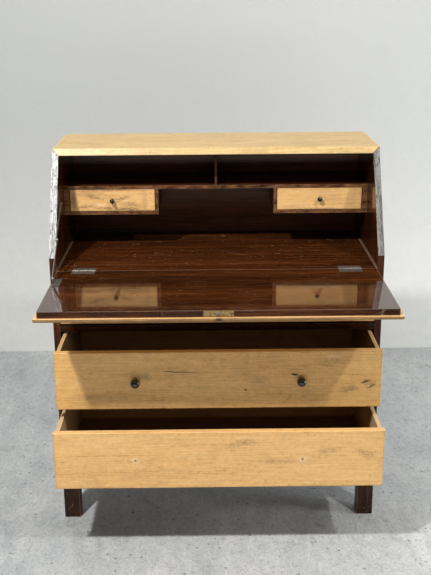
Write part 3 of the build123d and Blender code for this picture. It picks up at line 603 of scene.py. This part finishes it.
# Each mark is its middle, half sizes, colour, strength, slant and raggedness.
MIDDLE_MARKS = [
    ((-0.096, 0.5205), (0.062, 0.0018), CRACK, 1.0, 0.035, 0.004),
    ((-0.132, 0.523), (0.020, 0.0016), CRACK, 0.95, -0.05, 0.003),
    ((0.072, 0.468), (0.0060, 0.0038), (0.05, 0.022, 0.010), 1.0, 0.2, 0.002),
    ((0.052, 0.469), (0.012, 0.0018), STAIN, 0.35, 0.1, 0.004),
    ((0.200, 0.511), (0.015, 0.0050), (0.04, 0.02, 0.012), 1.0, 0.15, 0.005),
    ((-0.358, 0.511), (0.007, 0.0018), STAIN, 0.55, 0.5, 0.004),
    ((0.013, 0.535), (0.012, 0.0012), STAIN, 0.6, 0.6, 0.004),
    ((0.388, 0.489), (0.018, 0.0050), (0.05, 0.028, 0.018), 1.0, -0.35, 0.006),
    ((0.405, 0.476), (0.016, 0.0030), (0.08, 0.045, 0.025), 0.9, -0.5, 0.006),
    ((0.402, 0.482), (0.022, 0.0150), GREY, 0.5, -0.4, 0.020),
    ((0.345, 0.468), (0.038, 0.014), GREY, 0.5, -0.1, 0.020),
    ((0.305, 0.562), (0.028, 0.0045), PALE, 0.5, 0.0, 0.006),
    # A painted shadow of the left knob, just to its right.
    ((-0.190, 0.508), (0.020, 0.016), GREY, 0.45, 0.2, 0.016),
    ((0.290, 0.545), (0.050, 0.012), (0.34, 0.20, 0.09), 0.45, -0.1, 0.018),
    ((0.110, 0.497), (0.030, 0.016), SMUDGE, 0.4, 0.0, 0.020),
    ((-0.300, 0.450), (0.120, 0.014), SMUDGE, 0.40, 0.02, 0.018),
]
BOTTOM_MARKS = [
    ((-0.218, 0.306), (0.019, 0.011), PALE, 0.55, 0.1, 0.012),
    ((0.218, 0.306), (0.019, 0.011), PALE, 0.55, -0.1, 0.012),
    ((-0.232, 0.303), (0.014, 0.004), STAIN, 0.35, 0.2, 0.006),
    ((0.074, 0.357), (0.034, 0.014), GREY, 0.45, 0.1, 0.020),
    ((0.042, 0.349), (0.042, 0.016), GREY, 0.35, -0.2, 0.022),
    ((0.288, 0.332), (0.050, 0.012), BRUISE, 0.5, -0.15, 0.018),
    ((0.384, 0.321), (0.040, 0.018), BRUISE, 0.5, 0.25, 0.020),
    ((-0.093, 0.313), (0.020, 0.005), STAIN, 0.28, 0.0, 0.010),
    ((0.150, 0.300), (0.060, 0.010), (0.32, 0.18, 0.08), 0.5, 0.05, 0.014),
]

# A warmer copy of the birch for the middle front: painted shade, the warm tone of the flap's shadow over most
# of it.
SHADE_WARMED_BIRCH = ((0.40, (0.58, 0.300, 0.082)), (0.47, (0.73, 0.415, 0.130)), (0.54, (0.80, 0.480, 0.166)),
              (0.62, (0.88, 0.580, 0.235)))

finish_with(birch("top_drawer_birch", "x", 11.0), "drawer_top_front")
finish_with(birch("middle_drawer_birch", "x", 12.0, SHADE_WARMED_BIRCH, soil=0.42, wear_and_highlight=1.0, marks=MIDDLE_MARKS),
            "drawer_middle_front")
finish_with(birch("bottom_drawer_birch", "x", 13.0, soil=0.45, wear_and_highlight=0.9, marks=BOTTOM_MARKS),
            "drawer_bottom_front")
box_wood = birch("drawer_side_birch", "y", 14.0, PLAIN, soil=0.5)
# The middle drawer's sides carry painted shade: the flap's shadow over its inside.
shaded_box_wood = birch("drawer_side_shaded_birch", "y", 21.0, PLAIN, soil=0.7, side_shade=0.7)
back_wood = birch("drawer_back_birch", "x", 15.0, PLAIN, soil=0.7)
ply = birch("drawer_floor_ply", "x", 16.0, PLY, soil=0.8, wear_and_highlight=0.2, gloss=0.5)
for drawer in ("drawer_top", "drawer_middle", "drawer_bottom"):
    side_wood = shaded_box_wood if drawer == "drawer_middle" else box_wood
    finish_with(side_wood, f"{drawer}_side_left", f"{drawer}_side_right")
    finish_with(back_wood, f"{drawer}_back")
    finish_with(ply, f"{drawer}_floor")
    for part in ("side_left", "side_right", "back"):
        soften(f"{drawer}_{part}", BOARD_ARRIS)
finish_with(box_wood, "drawer_runners")


# ---- The knobs: balls of ebonised beech on a short neck and a beaded foot, turned and then lacquered.
# A peg through the front holds each one. The small drawers' are a little over half the size.

AROUND = 56
HEAD_STEPS = 26
RIM_STEPS = 12
COVE_STEPS = 10
PEG_CHAMFER = 0.0004
NECK_OVERLAP = 0.06
COVE_SPREAD = 0.78
NICKED_WOOD = (0.14, 0.09, 0.05)
LACQUER_DEPTH = 0.00006


def arc(centre, radius, start, end, steps):
    """Points on a circle in (radius, distance) between two angles in degrees, 0 along the axis outwards."""
    angle = np.radians(np.linspace(start, end, steps))
    return np.column_stack((centre[0] + radius * np.sin(angle), centre[1] + radius * np.cos(angle)))


def turned(name, profile, centres):
    """Turned pieces along -Y: each profile row is (radius, distance out from the front), spun round a centre.

    A point is (radius times cosine, minus distance, radius times sine) of its turn. The first and last rows
    lie on the axis and become one point each, and the rows between become rings."""
    radius, out = profile[1:-1, 0], profile[1:-1, 1]
    turn = np.linspace(0, 2 * np.pi, AROUND, endpoint=False)
    ring = np.stack((radius[:, None] * np.cos(turn), np.repeat(-out[:, None], AROUND, 1),
                     radius[:, None] * np.sin(turn)), axis=2).reshape(-1, 3)
    one = np.vstack((ring, [[0, -profile[0, 1], 0], [0, -profile[-1, 1], 0]]))
    rows, count = len(radius), len(one)
    row, col = np.meshgrid(np.arange(rows - 1), np.arange(AROUND), indexing="ij")
    after = (col + 1) % AROUND
    quads = np.stack((row * AROUND + col, (row + 1) * AROUND + col, (row + 1) * AROUND + after,
                      row * AROUND + after), axis=2).reshape(-1, 4)
    col = np.arange(AROUND)
    after = (col + 1) % AROUND
    last_ring = (rows - 1) * AROUND
    first = np.column_stack((np.full(AROUND, count - 2), col, after))
    last = np.column_stack((np.full(AROUND, count - 1), last_ring + after, last_ring + col))
    points = np.vstack([one + np.array(centre) for centre in centres])
    faces = []
    for i in range(len(centres)):
        faces += (quads + i * count).tolist() + (first + i * count).tolist() + (last + i * count).tolist()
    mesh = bpy.data.meshes.new(name)
    mesh.from_pydata(points.tolist(), [], faces)
    mesh.polygons.foreach_set("use_smooth", np.ones(len(mesh.polygons), bool))
    piece = bpy.data.objects.new(name, mesh)
    bpy.context.scene.collection.objects.link(piece)
    return piece


def knob_profile(ball, reach, foot, foot_thick, neck, peg, through):
    """A knob's outline, from the tip to the peg's end: ball, hollow neck, foot with a rounded bead, peg.

    The ball is an arc down to just over the neck's radius. The neck goes evenly down to the foot, and its
    radius goes in by the root of a sine and out by a cube. The bead is half a circle at the foot's rim."""
    middle = reach - ball
    waist = np.pi - np.arcsin(min(1.0, (neck + NECK_OVERLAP * ball) / ball))
    head = arc((0, middle), ball, 0, np.degrees(waist), HEAD_STEPS)
    bead = foot_thick * 0.5
    cove_top = head[-1]
    t = np.linspace(0, 1, COVE_STEPS)[1:]
    cove = np.column_stack((cove_top[0] + (neck - cove_top[0]) * np.sin(t * np.pi / 2) ** 0.5
                            + (foot * COVE_SPREAD - neck) * t ** 3,
                            cove_top[1] + (foot_thick - cove_top[1]) * t))
    rim = arc((foot - bead, bead), bead, 0, 180, RIM_STEPS)
    tail = [[peg, 0.0], [peg, -through + PEG_CHAMFER], [peg - PEG_CHAMFER, -through], [0.0, -through]]
    return np.vstack((head, cove, rim, tail))


def ebonised():
    """Black lacquer, rubbed brown in places, with a few small nicks down to the wood."""
    f = Finish("knob_lacquer")
    rub = f.noise(f.place, (120, 120, 120), 5.0, 0.65)
    colour = f.colours(rub, (0.35, (0.004, 0.004, 0.004)), (0.6, (0.010, 0.009, 0.009)),
                       (0.75, (0.035, 0.026, 0.020)))
    nick = f.specks(f.place, 0.004, 0.0004, 0.12)
    colour = f.over(colour, NICKED_WOOD, f.times(nick, 0.6))
    return f.surface(colour, f.step(rub, 0.3, 0.7, 0.10, 0.22), f.relief(rub, LACQUER_DEPTH), IOR=1.5,
                     Coat_Weight=0.8, Coat_Roughness=0.05)


knob_black = ebonised()


def fit_knobs(node, body, size):
    """Stands turned knobs where a CAD knob node is: on the front it is pegged through, one or two of them."""
    low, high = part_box(node)
    ball, face_y, z = size["ball"], high.y - size["through"], (low.z + high.z) / 2
    pair = high.x - low.x > 3 * ball
    xs = (low.x + ball, high.x - ball) if pair else ((low.x + high.x) / 2,)
    piece = turned(f"{node}_turned", knob_profile(**size), [(x, face_y, z) for x in xs])
    piece.data.materials.append(knob_black)
    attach(piece, body)
    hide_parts(node)


BIG_KNOB = {"ball": 0.0125, "reach": 0.029, "foot": 0.0085, "foot_thick": 0.003, "neck": 0.0055,
            "peg": 0.00255, "through": 0.016}
SMALL_KNOB = {"ball": 0.007, "reach": 0.017, "foot": 0.0045, "foot_thick": 0.0015, "neck": 0.003,
              "peg": 0.00155, "through": 0.010}
fit_knobs("drawer_top_knobs", "drawer_top", BIG_KNOB)
fit_knobs("drawer_middle_knobs", "drawer_middle", BIG_KNOB)
fit_knobs("small_drawer_left_knob", "small_drawer_left", SMALL_KNOB)
fit_knobs("small_drawer_right_knob", "small_drawer_right", SMALL_KNOB)


# ---- The small drawers: pale fronts with ink and hand stains at the edges, on thin birch boxes.
# The left one is by far the dirtier. They slide straight on the casings' floor boards.

LEFT_SMALL_MARKS = [
    ((-0.409, 0.904), (0.014, 0.040), (0.16, 0.08, 0.03), 0.75, 0.0, 0.012),
    ((-0.275, 0.878), (0.100, 0.0080), (0.14, 0.075, 0.03), 0.80, 0.03, 0.012),
    ((-0.300, 0.9335), (0.110, 0.0050), STAIN, 0.65, 0.0, 0.008),
    ((-0.204, 0.904), (0.010, 0.060), (0.50, 0.31, 0.13), 0.55, 0.0, 0.002),
    ((-0.345, 0.913), (0.045, 0.010), STAIN, 0.60, 0.25, 0.014),
    ((-0.275, 0.906), (0.040, 0.009), STAIN, 0.65, -0.3, 0.016),
    ((-0.330, 0.890), (0.030, 0.009), PALE, 0.35, 0.1, 0.010),
    ((-0.240, 0.888), (0.050, 0.012), STAIN, 0.55, 0.1, 0.016),
    ((-0.370, 0.885), (0.040, 0.010), STAIN, 0.55, -0.2, 0.016),
]
RIGHT_SMALL_MARKS = [
    ((0.296, 0.8745), (0.110, 0.0035), (0.22, 0.16, 0.11), 0.65, 0.0, 0.008),
    ((0.330, 0.900), (0.060, 0.004), (0.50, 0.30, 0.12), 0.35, 0.05, 0.008),
    ((0.418, 0.880), (0.006, 0.012), STAIN, 0.4, 0.0, 0.006),
]
finish_with(birch("small_left_birch", "x", 17.0, soil=1.0, marks=LEFT_SMALL_MARKS), "small_drawer_left_front")
finish_with(birch("small_right_birch", "x", 18.0, soil=0.4, marks=RIGHT_SMALL_MARKS),
            "small_drawer_right_front")
for drawer in ("small_drawer_left", "small_drawer_right"):
    finish_with(box_wood, f"{drawer}_sides")
    finish_with(back_wood, f"{drawer}_back")
    finish_with(ply, f"{drawer}_floor")


# ---- The fall flap: a dark core whose inner face is the writing surface, faced outside with pale birch.
# The birch lip shows as a pale line under the dark edge, worn dark in places, most of all below the lock; its
# front face is darkened by painted shade and its top is partly a painted highlight.

LIP_DEPTH = 0.012
LIP_MARKS = [
    ((0.000, 0.7350), (0.013, 0.009), (0.012, 0.006, 0.004), 1.0, 0.0, 0.002),
    ((-0.120, 0.7360), (0.060, 0.004), STAIN, 0.7, 0.0, 0.006),
    ((0.220, 0.7360), (0.090, 0.004), STAIN, 0.6, 0.0, 0.006),
    ((-0.340, 0.7380), (0.030, 0.003), STAIN, 0.6, 0.0, 0.006),
]
lip_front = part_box("flap_face")[0].y
# The flap's dark edge is worn along a wide arris, whose pale line is partly a painted highlight.
finish_with(mahogany("flap_mahogany", "x", 19.0, wear_and_highlight=0.85, gloss=0.05, coat=1.0, shine=2.15, dust=0.5,
                     lift=1.1, dull_front=0.9, eased=0.0065), "flap_core")
# The lip's front face is darkened by painted shade.
finish_with(birch("flap_birch", "x", 20.0, soil=0.7, wear_and_highlight=0.5, marks=LIP_MARKS, front_shade=0.82,
                  depth=(lip_front, LIP_DEPTH)), "flap_face")


# ---- Ironwork: steel hinges, screws, stay and lock, dulled and spotted; a brass lock plate and escutcheon
# gone brown. The hinges' leaves are let in flush and screwed down.

METAL_ARRIS = 0.0008
BRUSH_DEPTH = 0.00002


def metal(name, low, high, tarnish, rough, amount):
    """Rolled metal, brushed lightly along X, with dull patches of tarnish and brighter arrises.

    low and high are the darkest and the lightest of the clean metal, and amount is the tarnish's strength."""
    f = Finish(name)
    brush = f.noise(f.place, (30, 900, 900), 2.0, 0.5)
    patch = f.step(f.noise(f.place, (110, 110, 110), 5.0, 0.65), 0.42, 0.66)
    colour = f.colours(brush, (0.3, low), (0.7, high))
    colour = f.over(colour, tarnish, f.times(patch, amount))
    bright = f.step(f.arris(METAL_ARRIS), 0.05, 0.25)
    colour = f.over(colour, high, f.times(bright, 0.6))
    return f.surface(colour, f.step(patch, 0.0, 1.0, rough, rough + 0.22), f.relief(brush, BRUSH_DEPTH),
                     Metallic=0.92)


hinge_steel = metal("hinge_steel_dull", (0.15, 0.14, 0.125), (0.29, 0.27, 0.24), (0.06, 0.045, 0.033),
                    0.5, 0.7)
steel = metal("steel_dull", (0.17, 0.16, 0.145), (0.31, 0.295, 0.27), (0.07, 0.05, 0.036), 0.42, 0.75)
brass = metal("brass_tarnished", (0.22, 0.14, 0.055), (0.46, 0.32, 0.13), (0.085, 0.055, 0.028), 0.36, 0.75)
finish_with(hinge_steel, "hinge_leaves_desk", "hinge_leaves_flap", "hinge_pins", "screws_desk", "screws_flap")
finish_with(steel, "stay_bracket", "stay_upper_link", "stay_lower_link", "stay_rivet", "stay_stud",
            "lock_case", "lock_bolt", "strike_plate")
finish_with(brass, "lock_plate", "escutcheon")
